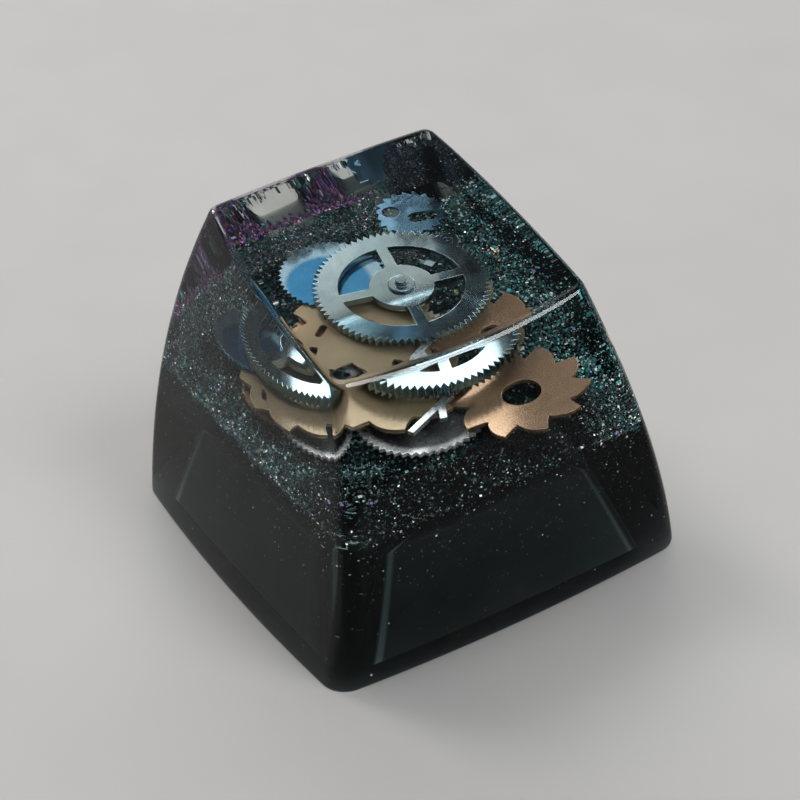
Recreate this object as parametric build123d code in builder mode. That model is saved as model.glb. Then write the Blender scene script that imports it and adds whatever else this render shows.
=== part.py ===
# Tall resin keycap with watch wheels cast into its clear crown, all sizes in millimetres
from build123d import *
from math import cos, pi, radians, sin, tan
import os

# Outer form: a square base that bows out a little on each side, and walls that lean in
base_width = 17.6
base_bulge = 0.40
rim_bulge = 0.30
base_corner = 1.2
rim_corner = 0.6
side_taper = 2.92
front_taper = 3.36
back_taper = 2.57
side_curve = 0.18
end_curve = 1.5
foot_bevel = 0.12

# Fingertip dish: a shallow ball-shaped hollow that leans towards the user
dish_height = 14.15
dish_tilt = 12.0
dish_radius = 75.0
rim_bevel = 0.2
wall_sections = 10

# Underside: a drafted hollow, with the post that takes a switch's cross-shaped stem
foot_side_wall = 1.75
foot_end_wall = 2.0
cavity_depth = 4.3
cavity_side_draft = 1.8
cavity_end_draft = 1.45
post_diameter = 5.5
post_lift = 0.5
cross_length = 4.1
cross_width = 1.25
cross_depth = 3.8

# Stack of wheels: the dark pour ends at pour_height, and a film of resin parts each layer from the next;
# their small round holes and pins have few sides, because they are tiny and many
pour_height = 6.9
film = 0.05
pin_sides = 10
ring_sides = 24

# Lower steel wheel
lower_tip = 2.97
lower_teeth = 48
lower_tooth = 0.20
lower_hole = 0.25
lower_thick = 0.18
lower_x = -0.65
lower_y = -1.15
lower_turn = 20.0

# Copper wheel with fine teeth
copper_tip = 2.0
copper_teeth = 36
copper_tooth = 0.16
copper_hole = 0.3
copper_thick = 0.18
copper_room = 3.0
copper_y = 1.3

# Copper claw wheel with long curved teeth
claw_tip = 3.2
claw_root = 2.35
claw_teeth = 10
claw_lean = 0.25
claw_bow = 0.14
claw_hole = 0.9
claw_thick = 0.18
claw_side_room = 1.0
claw_front_room = 2.0
claw_turn = 350.0

# Bronze claw wheel, larger and flatter, with a slot and a round hole
bronze_tip = 3.45
bronze_root = 2.7
bronze_teeth = 9
bronze_lean = 0.25
bronze_bow = 0.14
bronze_slot_length = 0.55
bronze_slot_width = 0.34
bronze_slot_radius = 2.1
bronze_slot_angle = 160.0
bronze_slot_turn = 60.0
bronze_hole = 0.4
bronze_thick = 0.18
bronze_room = 2.6
bronze_y = 0.6
bronze_turn = 25.0

# Forked steel lever, which lies over the copper claw wheel
fork_length = 2.95
fork_width = 0.34
fork_prong = 1.1
fork_reach = 2.8
fork_place = 162.0
fork_turn = 29.0
fork_split = 0.25
fork_spread = 43.0
fork_thick = 0.18

# Blued wheel with a plain face
blued_tip = 2.45
blued_teeth = 44
blued_tooth = 0.17
blued_hole = 0.3
blued_room = 1.4
blued_gap = 1.24
blued_thick = 0.18

# Small star wheel with a round hole and a slot
star_tip = 1.69
star_teeth = 19
star_tooth = 0.26
star_lean = 0.25
star_hole = 0.42
star_hole_radius = 0.89
star_hole_angle = 143.0
star_slot_length = 0.70
star_slot_width = 0.70
star_slot_radius = 0.66
star_slot_angle = -52.0
star_slot_turn = 34.0
star_side_room = 1.16
star_back_room = 0.17
star_thick = 0.18

# Click: a small steel arm with a rounded end beside the star wheel
click_end = 0.48
click_length = 2.1
click_hole = 0.18
click_gap = 0.55
click_turn = 30.0
click_thick = 0.18

# Main steel wheel with four spokes, and the arbor in its hub
main_tip = 4.08
main_teeth = 76
main_tooth = 0.30
main_rim = 0.92
main_hub = 1.5
main_spoke = 0.55
main_spokes = 4
main_thick = 0.5
main_side_room = 1.97
main_back_room = 2.5
main_turn = 78.0
arbor_radius = 0.35
collar_radius = 0.62
collar_height = 0.2
pivot_radius = 0.28
pivot_height = 0.35


def lean_in(level, taper, curve):
    """Distance that a wall has moved in from the base line at a level."""
    share = level / dish_height
    return taper * ((1 - curve) * share + curve * share**2)


def side_at(level):
    return base_width / 2 - lean_in(level, side_taper, side_curve)


def front_at(level):
    return base_width / 2 - lean_in(level, front_taper, end_curve)


def back_at(level):
    return base_width / 2 - lean_in(level, back_taper, end_curve)


def between(at_base, at_rim, level):
    """Value that changes evenly from the base to the height of the dish."""
    return at_base + (at_rim - at_base) * level / dish_height


def spot(radius, angle):
    return (radius * cos(angle), radius * sin(angle))


def tooth_points(teeth, tip, depth, lean=0.0):
    """Outline of a wheel with pointed teeth, whose tips lean by a share of the pitch."""
    points = []
    pitch = 2 * pi / teeth
    for count in range(teeth):
        start = count * pitch
        peak = start + (0.5 + lean) * pitch
        points += [spot(tip - depth, start), spot(tip, peak)]
    return points


def claw_arcs(teeth, tip, root, lean, bow):
    """Outline of a claw wheel: each tooth has a back that bows out and a front that bows in."""
    pitch = 2 * pi / teeth
    middle = (tip + root) / 2
    for count in range(teeth):
        start = count * pitch
        peak = start + (0.5 + lean) * pitch
        end = start + pitch
        ThreePointArc(spot(root, start), spot(middle + bow, (start + peak) / 2), spot(tip, peak))
        ThreePointArc(spot(tip, peak), spot(middle - bow, (peak + end) / 2), spot(root, end))


# Heights of the layers, from the dark pour upwards
lower_level = pour_height + film
copper_level = lower_level + lower_thick + film
claw_level = copper_level + copper_thick + film
bronze_level = claw_level + claw_thick + film
blued_level = bronze_level + bronze_thick + film
main_level = blued_level + max(blued_thick, star_thick, click_thick, fork_thick) + film

# Places of the wheels, measured in from the walls at their own height or from each other
copper_x = copper_tip + copper_room - side_at(copper_level)
claw_x = side_at(claw_level) - claw_tip - claw_side_room
claw_y = claw_tip + claw_front_room - front_at(claw_level)
bronze_x = bronze_tip + bronze_room - side_at(bronze_level)
star_x = side_at(blued_level) - star_tip - star_side_room
star_y = back_at(blued_level) - star_tip - star_back_room
blued_x = star_x - star_tip - blued_tip - blued_gap
blued_y = back_at(blued_level) - blued_tip - blued_room
click_x = star_x + click_end
click_y = star_y - star_tip - click_gap - click_end
main_x = side_at(main_level) - main_tip - main_side_room
main_y = back_at(main_level) - main_tip - main_back_room

# Whole outer body, as it leaves the mould
body_top = dish_height + base_width / 2 * tan(radians(dish_tilt)) + (base_width / 2) ** 2 / dish_radius
wall_step = (body_top - foot_bevel) / wall_sections
wall_levels = [foot_bevel + wall_step * step for step in range(wall_sections + 1)]
with BuildPart() as body:
    for level in (0, *wall_levels):
        tuck = 0 if level else foot_bevel
        side, front, back = side_at(level) - tuck, front_at(level) - tuck, back_at(level) - tuck
        bulge = between(base_bulge, rim_bulge, level)
        middle = (back - front) / 2
        with BuildSketch(Plane.XY.offset(level)) as section:
            with BuildLine():
                ThreePointArc((side, -front), (side + bulge, middle), (side, back))
                ThreePointArc((side, back), (0, back + bulge), (-side, back))
                ThreePointArc((-side, back), (-side - bulge, middle), (-side, -front))
                ThreePointArc((-side, -front), (0, -front - bulge), (side, -front))
            make_face()
            fillet(section.vertices(), radius=between(base_corner, rim_corner, level))
    loft(ruled=True)
    dish_lean = radians(dish_tilt)
    with Locations((0, -dish_radius * sin(dish_lean), dish_height + dish_radius * cos(dish_lean))):
        Sphere(dish_radius, mode=Mode.SUBTRACT)
    chamfer(body.faces().filter_by(GeomType.SPHERE).edges(), length=rim_bevel)

# Dark base pour: hollow underneath, with the post and its cross-shaped socket
with BuildPart() as glitter_base:
    add(body.part)
    split(bisect_by=Plane.XY.offset(pour_height), keep=Keep.BOTTOM)
    mouth_width = base_width - 2 * foot_side_wall
    mouth_length = base_width - 2 * foot_end_wall
    with BuildSketch():
        Rectangle(mouth_width, mouth_length)
    with BuildSketch(Plane.XY.offset(cavity_depth)):
        Rectangle(mouth_width - 2 * cavity_side_draft, mouth_length - 2 * cavity_end_draft)
    loft(ruled=True, mode=Mode.SUBTRACT)
    with BuildSketch(Plane.XY.offset(post_lift)):
        Circle(post_diameter / 2)
    extrude(amount=cavity_depth - post_lift)
    with BuildSketch(Plane.XY.offset(post_lift)):
        Rectangle(cross_length, cross_width)
        Rectangle(cross_width, cross_length)
    extrude(amount=cross_depth, mode=Mode.SUBTRACT)

# Lower steel wheel: a toothed disc with a centre hole
with BuildPart() as lower_wheel:
    with BuildSketch(Plane((lower_x, lower_y, lower_level)).rotated((0, 0, lower_turn))):
        with BuildLine():
            Polyline(tooth_points(lower_teeth, lower_tip, lower_tooth), close=True)
        make_face()
        RegularPolygon(lower_hole, pin_sides, mode=Mode.SUBTRACT)
    extrude(amount=lower_thick)

# Copper wheel: fine teeth and a centre hole
with BuildPart() as copper_wheel:
    with BuildSketch(Plane((copper_x, copper_y, copper_level))):
        with BuildLine():
            Polyline(tooth_points(copper_teeth, copper_tip, copper_tooth), close=True)
        make_face()
        RegularPolygon(copper_hole, pin_sides, mode=Mode.SUBTRACT)
    extrude(amount=copper_thick)

# Copper claw wheel: long curved teeth and a wide hole
with BuildPart() as claw_wheel:
    with BuildSketch(Plane((claw_x, claw_y, claw_level)).rotated((0, 0, claw_turn))):
        with BuildLine():
            claw_arcs(claw_teeth, claw_tip, claw_root, claw_lean, claw_bow)
        make_face()
        RegularPolygon(claw_hole, ring_sides, mode=Mode.SUBTRACT)
    extrude(amount=claw_thick)

# Forked lever: a bar with a second prong, over the claw wheel and in the same layer as the blued wheel
fork_angle = radians(fork_place)
fork_origin = (claw_x + fork_reach * cos(fork_angle), claw_y + fork_reach * sin(fork_angle), blued_level)
with BuildPart() as fork_lever:
    with BuildSketch(Plane(fork_origin).rotated((0, 0, 180 + fork_turn))):
        with Locations((fork_length / 2, -fork_width)):
            Rectangle(fork_length, fork_width)
        with Locations(Location((fork_length * fork_split, -fork_width), fork_spread)):
            with Locations((fork_prong / 2, 0)):
                Rectangle(fork_prong, fork_width)
    extrude(amount=fork_thick)

# Bronze claw wheel: flatter teeth, a centre hole and a slot
with BuildPart() as bronze_wheel:
    with BuildSketch(Plane((bronze_x, bronze_y, bronze_level)).rotated((0, 0, bronze_turn))):
        with BuildLine():
            claw_arcs(bronze_teeth, bronze_tip, bronze_root, bronze_lean, bronze_bow)
        make_face()
        RegularPolygon(bronze_hole, pin_sides, mode=Mode.SUBTRACT)
        with Locations(Rotation(0, 0, bronze_slot_angle - bronze_turn) * Pos(bronze_slot_radius, 0)):
            SlotCenterToCenter(
                bronze_slot_length, bronze_slot_width, rotation=bronze_slot_turn, mode=Mode.SUBTRACT
            )
    extrude(amount=bronze_thick)

# Blued wheel: fine teeth and a small centre hole
with BuildPart() as blued_wheel:
    with BuildSketch(Plane((blued_x, blued_y, blued_level))):
        with BuildLine():
            Polyline(tooth_points(blued_teeth, blued_tip, blued_tooth), close=True)
        make_face()
        RegularPolygon(blued_hole, pin_sides, mode=Mode.SUBTRACT)
    extrude(amount=blued_thick)

# Star wheel: leaning teeth, a round hole and a slot
with BuildPart() as star_wheel:
    with BuildSketch(Plane((star_x, star_y, blued_level))):
        with BuildLine():
            Polyline(tooth_points(star_teeth, star_tip, star_tooth, star_lean), close=True)
        make_face()
        with Locations(Rotation(0, 0, star_hole_angle) * Pos(star_hole_radius, 0)):
            RegularPolygon(star_hole, pin_sides, mode=Mode.SUBTRACT)
        with Locations(Rotation(0, 0, star_slot_angle) * Pos(star_slot_radius, 0)):
            SlotCenterToCenter(
                star_slot_length, star_slot_width, rotation=star_slot_turn, mode=Mode.SUBTRACT
            )
    extrude(amount=star_thick)

# Click: an arm with a rounded end that has a pin hole
with BuildPart() as click_arm:
    with BuildSketch(Plane((click_x, click_y, blued_level)).rotated((0, 0, 180 + click_turn))):
        Circle(click_end)
        with Locations((click_length / 2, 0)):
            Rectangle(click_length, click_end)
        RegularPolygon(click_hole, pin_sides, mode=Mode.SUBTRACT)
    extrude(amount=click_thick)

# Main wheel: flat rim with fine teeth, four spokes and a bored hub
with BuildPart() as main_wheel:
    with BuildSketch(Plane((main_x, main_y, main_level)).rotated((0, 0, main_turn))):
        with BuildLine():
            Polyline(tooth_points(main_teeth, main_tip, main_tooth), close=True)
        make_face()
        opening = main_tip - main_tooth - main_rim
        Circle(opening, mode=Mode.SUBTRACT)
        Circle(main_hub)
        with PolarLocations((opening + main_hub) / 2, main_spokes):
            Rectangle(opening, main_spoke)
        RegularPolygon(arbor_radius, pin_sides, mode=Mode.SUBTRACT)
    extrude(amount=main_thick)

# Arbor: a turned pin through the hub, with a collar on the wheel and a pivot above it
with BuildPart() as wheel_arbor:
    with BuildSketch(Plane((main_x, main_y, main_level)).rotated((0, 0, main_turn))):
        RegularPolygon(arbor_radius, pin_sides)
    extrude(amount=main_thick)
    with BuildSketch(Plane((main_x, main_y, main_level + main_thick))):
        RegularPolygon(collar_radius, ring_sides)
    extrude(amount=collar_height)
    with BuildSketch(Plane((main_x, main_y, main_level + main_thick + collar_height))):
        RegularPolygon(pivot_radius, pin_sides)
    extrude(amount=pivot_height)

# Clear crown: poured over the wheels, so that it fills every gap around them
inlays = {
    "lower_wheel": lower_wheel,
    "copper_wheel": copper_wheel,
    "claw_wheel": claw_wheel,
    "fork_lever": fork_lever,
    "bronze_wheel": bronze_wheel,
    "blued_wheel": blued_wheel,
    "star_wheel": star_wheel,
    "click_arm": click_arm,
    "main_wheel": main_wheel,
    "wheel_arbor": wheel_arbor,
}
with BuildPart() as clear_crown:
    add(body.part)
    split(bisect_by=Plane.XY.offset(pour_height), keep=Keep.TOP)
    for inlay in inlays.values():
        add(inlay.part, mode=Mode.SUBTRACT)

os.makedirs("parts", exist_ok=True)
for name, piece in {"clear_crown": clear_crown, "glitter_base": glitter_base, **inlays}.items():
    piece.part.label = name
    export_step(piece.part, f"parts/{name}.step")
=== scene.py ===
import math

import bpy
import numpy as np
from mathutils import Matrix, Vector


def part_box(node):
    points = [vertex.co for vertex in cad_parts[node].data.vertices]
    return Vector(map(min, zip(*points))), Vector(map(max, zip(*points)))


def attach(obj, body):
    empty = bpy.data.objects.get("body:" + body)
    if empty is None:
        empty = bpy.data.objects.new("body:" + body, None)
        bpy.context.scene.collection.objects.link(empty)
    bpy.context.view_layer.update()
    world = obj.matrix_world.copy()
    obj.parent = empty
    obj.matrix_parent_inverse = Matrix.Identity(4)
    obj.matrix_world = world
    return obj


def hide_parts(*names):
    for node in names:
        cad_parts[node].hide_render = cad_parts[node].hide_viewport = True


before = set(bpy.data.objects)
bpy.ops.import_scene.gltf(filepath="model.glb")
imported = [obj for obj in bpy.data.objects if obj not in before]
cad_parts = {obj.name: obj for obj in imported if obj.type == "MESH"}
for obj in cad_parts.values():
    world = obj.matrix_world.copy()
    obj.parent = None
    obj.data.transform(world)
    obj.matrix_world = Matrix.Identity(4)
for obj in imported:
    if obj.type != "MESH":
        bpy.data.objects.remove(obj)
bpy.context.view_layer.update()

mm = 0.001
tiny = 1e-9
seed = 11
rng = np.random.default_rng(seed)
print("stage: frame loaded")

# Outer form of the casting, in millimetres; the rim's height is found in rimRounds steps
form = {
    "baseWidth": 17.6, "baseBulge": 0.40, "rimBulge": 0.30,
    "baseCorner": 1.2, "rimCorner": 0.6, "leastCorner": 0.1,
    "sideTaper": 2.92, "frontTaper": 3.36, "backTaper": 2.57, "sideCurve": 0.18, "endCurve": 1.5,
    "dishHeight": 14.15, "dishTilt": 12.0, "dishRadius": 75.0,
    "rimRound": 0.30, "rimDrop": 0.97, "rimRounds": 14, "footRound": 0.16, "sharpAngle": 38,
}
# Hollow underside, in millimetres
hollow = {
    "side": 7.05, "end": 6.8, "depth": 4.3, "sideDraft": 1.8, "endDraft": 1.45, "corner": 0.2, "lip": 0.06,
    "postRadius": 2.75, "postLift": 0.5, "crossLength": 4.1, "crossWidth": 1.25, "crossDepth": 3.8,
}
# Columns of each wall and corner, and rows of each stretch from the dish to the socket
grid = {
    "wallColumns": 70, "cornerColumns": 20, "dish": 40, "rim": 8, "wall": 48, "foot": 5,
    "lip": 3, "hollow": 14, "ceiling": 3, "post": 4, "postEnd": 2, "socket": 3,
}
# Dark lower pour, in millimetres, and its rows
pour = {"height": 6.9, "lidDrop": 0.02, "gap": 0.03, "lidRows": 6, "wallRows": 24, "hollowRows": 6}

# Order of the columns: once round the outline, from the front end of the right wall
walls = ["right", "backRight", "back", "backLeft", "left", "frontLeft", "front", "frontRight"]
columnCounts = [grid["wallColumns"], grid["cornerColumns"]] * 4
segment = np.repeat(np.arange(len(walls)), columnCounts)
share = np.concatenate([np.arange(count) / count for count in columnCounts])
columnTotal = len(segment)


def onWall(name):
    return segment == walls.index(name)


# Even rise from 0 at start to 1 at end, level outside them
def ramp(value, start, end):
    return np.clip((value - start) / (end - start), 0, 1)


# Lean of a wall: a blend of a straight and a squared share of the height
def leanIn(level, taper, curve):
    part = level / form["dishHeight"]
    return taper * ((1 - curve) * part + curve * part**2)


# Evenly changing value from the base to the dish
def between(low, high, level):
    return low + (high - low) * level / form["dishHeight"]


# Half widths of the casting at a height, drawn in by tuck: to the sides, the front and the back
def wallReach(level, tuck):
    half = form["baseWidth"] / 2 - tuck
    side = half - leanIn(level, form["sideTaper"], form["sideCurve"])
    front = half - leanIn(level, form["frontTaper"], form["endCurve"])
    back = half - leanIn(level, form["backTaper"], form["endCurve"])
    return side, front, back


# Half widths of the hollow at a height, moved out by gap: they shrink evenly with the height
def hollowReach(level, gap):
    part = level / hollow["depth"]
    side = hollow["side"] + gap - hollow["sideDraft"] * part
    end = hollow["end"] + gap - hollow["endDraft"] * part
    return side, end


# Height of the dish: the underside of a large ball that leans to the front
def dishAt(x, y):
    tilt = math.radians(form["dishTilt"])
    radius = form["dishRadius"]
    middleY = -radius * math.sin(tilt)
    middleZ = form["dishHeight"] + radius * math.cos(tilt)
    return middleZ - np.sqrt(radius**2 - x**2 - (y - middleY) ** 2)


# Corner between a side wall and an end wall: the circle that touches both wall arcs from inside
def cornerCircle(side, near, far, bulge, radius):
    middle = (near - far) / 2
    reach = (near + far) / 2
    sideArc = (reach**2 + bulge**2) / (2 * bulge)
    endArc = (side**2 + bulge**2) / (2 * bulge)
    sideX = side + bulge - sideArc
    endY = near + bulge - endArc
    sideReach = sideArc - radius
    endReach = endArc - radius
    stepX = -sideX
    stepY = endY - middle
    gap = np.hypot(stepX, stepY)
    along = (sideReach**2 - endReach**2 + gap**2) / (2 * gap)
    off = np.sqrt(np.maximum(sideReach**2 - along**2, 0))
    x = sideX + (along * stepX - off * stepY) / gap
    y = middle + (along * stepY + off * stepX) / gap
    flip = x < 0
    x = np.where(flip, sideX + (along * stepX + off * stepY) / gap, x)
    y = np.where(flip, middle + (along * stepY - off * stepX) / gap, y)
    sideTurn = np.arctan2(y - middle, x - sideX)
    endTurn = np.arctan2(x, y - endY)
    return x, y, sideTurn, endTurn, sideArc, endArc, sideX, endY, middle


# Outline of the casting at a height, drawn in by tuck: four bowed walls as circle arcs, with round corners.
# Gives the places and the directions straight out from the wall
def outline(level, tuck):
    side, front, back = wallReach(level, tuck)
    bulge = between(form["baseBulge"], form["rimBulge"], level)
    radius = np.maximum(between(form["baseCorner"], form["rimCorner"], level) - tuck, form["leastCorner"])
    atBack = cornerCircle(side, back, front, bulge, radius)
    backX, backY, backSide, backEnd, sideArc, endArc, sideX, backEndY, middle = atBack
    atFront = cornerCircle(side, front, back, bulge, radius)
    frontX, frontY, frontSide, frontEnd, _, _, _, frontEndY, _ = atFront
    part = np.broadcast_to(share, level.shape)
    kind = np.broadcast_to(segment, level.shape)
    sweep = (backSide + frontSide) * part
    sideTurn = np.where(kind == 0, -frontSide + sweep, backSide - sweep)
    backTurn = backEnd * (1 - 2 * part)
    frontTurn = frontEnd * (2 * part - 1)
    quarter = math.pi / 2
    backRight = backSide + (quarter - backEnd - backSide) * part
    backLeft = backSide + (quarter - backEnd - backSide) * (1 - part)
    frontLeft = frontSide + (quarter - frontEnd - frontSide) * part
    frontRight = frontSide + (quarter - frontEnd - frontSide) * (1 - part)
    kinds = [kind == number for number in range(len(walls))]
    outX = np.select(kinds, [
        np.cos(sideTurn), np.cos(backRight), np.sin(backTurn), -np.cos(backLeft),
        -np.cos(sideTurn), -np.cos(frontLeft), np.sin(frontTurn), np.cos(frontRight)])
    outY = np.select(kinds, [
        np.sin(sideTurn), np.sin(backRight), np.cos(backTurn), np.sin(backLeft),
        np.sin(sideTurn), -np.sin(frontLeft), -np.cos(frontTurn), -np.sin(frontRight)])
    x = np.select(kinds, [
        sideX + sideArc * outX, backX + radius * outX, endArc * outX, -backX + radius * outX,
        -sideX + sideArc * outX, -frontX + radius * outX, endArc * outX, frontX + radius * outX])
    y = np.select(kinds, [
        middle + sideArc * outY, backY + radius * outY,
        backEndY + endArc * outY, backY + radius * outY,
        middle + sideArc * outY, -frontY + radius * outY,
        -frontEndY + endArc * outY, -frontY + radius * outY])
    return x, y, outX, outY


# Points of the outline, with a height for each row and column
def outlinePoints(level, tuck):
    x, y, _, _ = outline(level, tuck)
    return np.stack([x, y, level], -1)


# Rows of the outline, one height per row
def outlineRows(levels, tuck):
    return outlinePoints(np.repeat(levels[:, None], columnTotal, 1), tuck)


# Round edge: a circle arc, written as a weighted parabola, from one row to another about the sharp edge
def roundRows(start, edge, end, steps):
    toStart = start - edge
    toEnd = end - edge
    lengths = np.linalg.norm(toStart, axis=-1) * np.linalg.norm(toEnd, axis=-1)
    cosine = (toStart * toEnd).sum(-1) / np.maximum(lengths, tiny)
    weight = np.sqrt(np.clip((1 - cosine) / 2, 0, 1))[None, :, None]
    part = np.linspace(0, 1, steps + 1)[:, None, None]
    pull = 2 * weight * part * (1 - part)
    total = (1 - part) ** 2 * start + pull * edge + part**2 * end
    return total / ((1 - part) ** 2 + pull + part**2)


# Rectangle with small round corners, with the same columns as the outline
def rectangleRow(side, end, corner, level):
    innerX = side - corner
    innerY = end - corner
    swing = 2 * share - 1
    kinds = [segment == number for number in range(len(walls))]
    turn = np.select(kinds, [0, share, 1, 1 + share, 2, 2 + share, 3, 3 + share]) * (math.pi / 2)
    x = np.select(kinds, [innerX, innerX, -innerX * swing, -innerX, -innerX, -innerX, innerX * swing, innerX])
    y = np.select(kinds, [innerY * swing, innerY, innerY, innerY, -innerY * swing, -innerY, -innerY, -innerY])
    return np.stack([x + corner * np.cos(turn), y + corner * np.sin(turn), np.full(columnTotal, level)], -1)


# Row of the hollow's wall at a height, moved out by gap
def hollowRow(level, gap):
    side, end = hollowReach(level, gap)
    return rectangleRow(side, end, hollow["corner"] + gap, level)


# Cross outline of the stem socket: a quarter of it turned three times, with its corners on whole columns
def crossRow(level):
    arm = hollow["crossLength"] / 2
    half = hollow["crossWidth"] / 2
    quarters = [np.array([[arm, 0], [arm, half], [half, half], [half, arm]])]
    for _ in range(3):
        quarters.append(quarters[-1] @ np.array([[0, 1], [-1, 0]]))
    corners = np.concatenate(quarters + [quarters[0][:1]])
    number = np.arange(len(corners))
    place = np.arange(columnTotal) / columnTotal * number[-1]
    x = np.interp(place, number, corners[:, 0])
    y = np.interp(place, number, corners[:, 1])
    return np.stack([x, y, np.full(columnTotal, level)], -1)


# Rows between two rows, evenly spaced, without the first and with the last
def blendRows(start, end, steps):
    part = (np.arange(steps) + 1)[:, None, None] / steps
    return start + (end - start) * part


# Object from points in millimetres and faces of four or three corners, its place in the mesh
def putMesh(name, points, quads, triangles, materials, slots=None):
    mesh = bpy.data.meshes.new(name)
    mesh.vertices.add(len(points))
    mesh.vertices.foreach_set("co", np.ascontiguousarray(points * mm, np.float32).ravel())
    corners = np.concatenate([quads.ravel(), triangles.ravel()]).astype(np.int32)
    sizes = np.concatenate([np.full(len(quads), 4), np.full(len(triangles), 3)])
    starts = np.concatenate([[0], np.cumsum(sizes)[:-1]]).astype(np.int32)
    mesh.loops.add(len(corners))
    mesh.loops.foreach_set("vertex_index", corners)
    mesh.polygons.add(len(sizes))
    mesh.polygons.foreach_set("loop_start", starts)
    if slots is not None:
        mesh.polygons.foreach_set("material_index", slots.astype(np.int32))
    mesh.update(calc_edges=True)
    for material in materials:
        mesh.materials.append(material)
    piece = bpy.data.objects.new(name, mesh)
    bpy.context.scene.collection.objects.link(piece)
    return piece


# Closed surface from rows of columns, with a pole before the first row and one after the last;
# a face takes the material slot of the later of its two rows
def closedGrid(name, firstPole, rows, lastPole, materials, slots):
    rowTotal = len(rows)
    points = np.concatenate([[firstPole], rows.reshape(-1, 3), [lastPole]])
    index = 1 + np.arange(rowTotal * columnTotal).reshape(rowTotal, columnTotal)
    after = np.roll(index, -1, 1)
    quads = np.stack([index[:-1], index[1:], after[1:], after[:-1]], -1).reshape(-1, 4)
    firstFan = np.stack([np.zeros(columnTotal, int), index[0], after[0]], -1)
    lastFan = np.stack([np.full(columnTotal, len(points) - 1), after[-1], index[-1]], -1)
    faceSlots = np.concatenate([slots[1:].ravel(), slots[0], slots[-1]])
    piece = putMesh(name, points, quads, np.concatenate([firstFan, lastFan]), materials, faceSlots)
    piece.data.polygons.foreach_set("use_smooth", np.ones(len(piece.data.polygons), bool))
    piece.data.set_sharp_from_angle(angle=math.radians(form["sharpAngle"]))
    return piece


# Gives the inputs of a node a value each, or a link from another node's output
def setInputs(tree, node, inputs):
    for name, value in inputs.items():
        if isinstance(value, bpy.types.NodeSocket):
            tree.links.new(value, node.inputs[name])
        else:
            node.inputs[name].default_value = value


def addNode(tree, kind, inputs, **settings):
    node = tree.nodes.new(kind)
    for name, value in settings.items():
        setattr(node, name, value)
    setInputs(tree, node, inputs)
    return node


# Mixes two colours by a factor: the mix node has its colours at 6 and 7 and gives the result at 2
def mixColours(tree, factor, first, second, blend="MIX"):
    inputs = {"Factor": factor, 6: first, 7: second}
    return addNode(tree, "ShaderNodeMix", inputs, data_type="RGBA", blend_type=blend).outputs[2]


# Smooth rise from 0 at start to most at end
def smoothRise(tree, value, start, end, most=1.0):
    inputs = {"Value": value, "From Min": start, "From Max": end, "To Max": most}
    return addNode(tree, "ShaderNodeMapRange", inputs, interpolation_type="SMOOTHSTEP").outputs[0]


def mathNode(tree, operation, inputs, **settings):
    return addNode(tree, "ShaderNodeMath", inputs, operation=operation, **settings).outputs[0]


def newMaterial(name):
    material = bpy.data.materials.new(name)
    material.use_nodes = True
    tree = material.node_tree
    tree.nodes.clear()
    shader = addNode(tree, "ShaderNodeBsdfPrincipled", {})
    out = addNode(tree, "ShaderNodeOutputMaterial", {"Surface": shader.outputs[0]})
    return material, tree, shader, out


# Cloudy grain: two noises, of which the broad one blends two colours and the fine one moves the roughness
grainNoise = {
    "broadDetail": 3.0, "broadRough": 0.55, "spread": (0.3, 0.7),
    "fineDetail": 2.0, "fineRough": 0.5, "finer": 6.0,
}
grainSockets = {
    "INPUT": {"Light": "Color", "Dark": "Color", "Scale": "Float", "Smooth": "Float", "Rough": "Float"},
    "OUTPUT": {"Color": "Color", "Roughness": "Float", "Height": "Float"},
}


def makeGrainGroup():
    tree = bpy.data.node_groups.new("cloudyGrain", "ShaderNodeTree")
    for way, sockets in grainSockets.items():
        for label, kind in sockets.items():
            tree.interface.new_socket(label, in_out=way, socket_type="NodeSocket" + kind)
    take = addNode(tree, "NodeGroupInput", {}).outputs
    place = addNode(tree, "ShaderNodeTexCoord", {}).outputs["Object"]
    finer = mathNode(tree, "MULTIPLY", {0: take["Scale"], 1: grainNoise["finer"]})
    broad = addNode(tree, "ShaderNodeTexNoise", {
        "Vector": place, "Scale": take["Scale"],
        "Detail": grainNoise["broadDetail"], "Roughness": grainNoise["broadRough"]})
    fine = addNode(tree, "ShaderNodeTexNoise", {
        "Vector": place, "Scale": finer,
        "Detail": grainNoise["fineDetail"], "Roughness": grainNoise["fineRough"]})
    low, high = grainNoise["spread"]
    spread = addNode(tree, "ShaderNodeMapRange", {
        "Value": broad.outputs[0], "From Min": low, "From Max": high})
    roughness = addNode(tree, "ShaderNodeMapRange", {
        "Value": fine.outputs[0], "To Min": take["Smooth"], "To Max": take["Rough"]})
    addNode(tree, "NodeGroupOutput", {
        "Color": mixColours(tree, spread.outputs[0], take["Dark"], take["Light"]),
        "Roughness": roughness.outputs[0], "Height": fine.outputs[0]})
    return tree


grainGroup = makeGrainGroup()


# Adds the grain with a look: two colours, noises per metre, and the least and most roughness
def addGrain(tree, look):
    smooth, rough = look["rough"]
    inputs = {
        "Light": (*look["light"], 1), "Dark": (*look["dark"], 1), "Scale": look["scale"],
        "Smooth": smooth, "Rough": rough}
    return addNode(tree, "ShaderNodeGroup", inputs, node_tree=grainGroup).outputs


# Lets lamps through a clear surface, so that what is cast in it is lit
def passLamps(tree, shader, out, tint):
    path = addNode(tree, "ShaderNodeLightPath", {})
    clear = addNode(tree, "ShaderNodeBsdfTransparent", {"Color": tint})
    mix = addNode(tree, "ShaderNodeMixShader", {
        0: path.outputs["Is Shadow Ray"], 1: shader.outputs[0], 2: clear.outputs[0]})
    setInputs(tree, out, {"Surface": mix.outputs[0]})


clearLook = {
    "light": (1, 1, 1), "dark": (0.97, 0.985, 0.98), "scale": 120.0, "rough": (0.0, 0.012),
    "bend": 1.5, "lampTint": (0.94, 0.95, 0.95, 1),
}


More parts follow.
